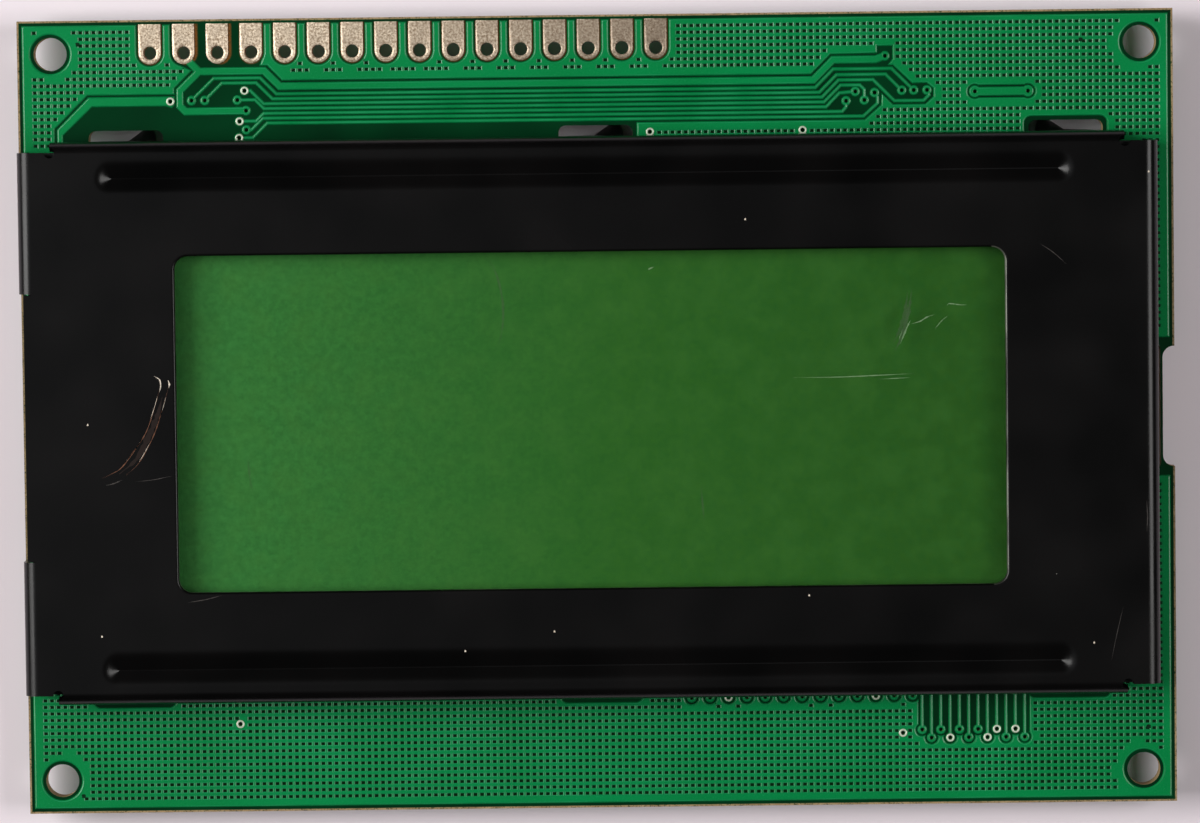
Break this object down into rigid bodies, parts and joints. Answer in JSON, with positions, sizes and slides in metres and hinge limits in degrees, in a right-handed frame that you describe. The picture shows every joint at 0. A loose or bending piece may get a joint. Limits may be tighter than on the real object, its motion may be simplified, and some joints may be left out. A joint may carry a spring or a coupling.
{
  "type": "character lcd module",
  "caption": "Character display module: a green circuit board carrying a black folded metal bezel around a reflective green glass cell, with a row of plated header pads.",
  "frame": {"origin": "middle of the four mounting holes, on the back face of the board", "axes": "+X along the header row towards the last pad, +Y from the middle of the board towards the header row, +Z out of the display"},
  "size_m": [0.087, 0.06, 0.0087],
  "materials": {
    "board": "green solder mask over copper and glass laminate, satin gloss",
    "pads": "mottled tin plating",
    "bezel": "black semi-matt paint on folded steel, worn at the raw edges",
    "front_film": "anti-glare front polarizer, slightly scratched",
    "glass": "clear soda glass",
    "rear_film": "green reflective film with a fine pebbled grain",
    "sealant": "cured sealant",
    "elastomer": "layered contact strip",
    "inner_frame": "dark moulding",
    "epoxy": "black potting epoxy",
    "resistor": "chip resistor with tinned end caps",
    "capacitor": "ceramic chip with tinned end caps"
  },
  "bodies": {
    "root": {"board": "board", "pad_01": "pads", "pad_02": "pads", "pad_03": "pads", "pad_04": "pads", "pad_05": "pads", "pad_06": "pads", "pad_07": "pads", "pad_08": "pads", "pad_09": "pads", "pad_10": "pads", "pad_11": "pads", "pad_12": "pads", "pad_13": "pads", "pad_14": "pads", "pad_15": "pads", "pad_16": "pads", "bezel": "bezel", "front_polarizer": "front_film", "upper_glass": "glass", "cell_seal": "sealant", "end_plug": "sealant", "lower_glass": "glass", "rear_polarizer": "rear_film", "zebra_top": "elastomer", "zebra_bottom": "elastomer", "inner_frame": "inner_frame", "glob_controller": "epoxy", "glob_driver_1": "epoxy", "glob_driver_2": "epoxy", "resistor_1": "resistor", "resistor_2": "resistor", "resistor_3": "resistor", "resistor_4": "resistor", "resistor_5": "resistor", "resistor_6": "resistor", "capacitor_1": "capacitor", "capacitor_2": "capacitor", "capacitor_3": "capacitor"}
  },
  "joints": []
}
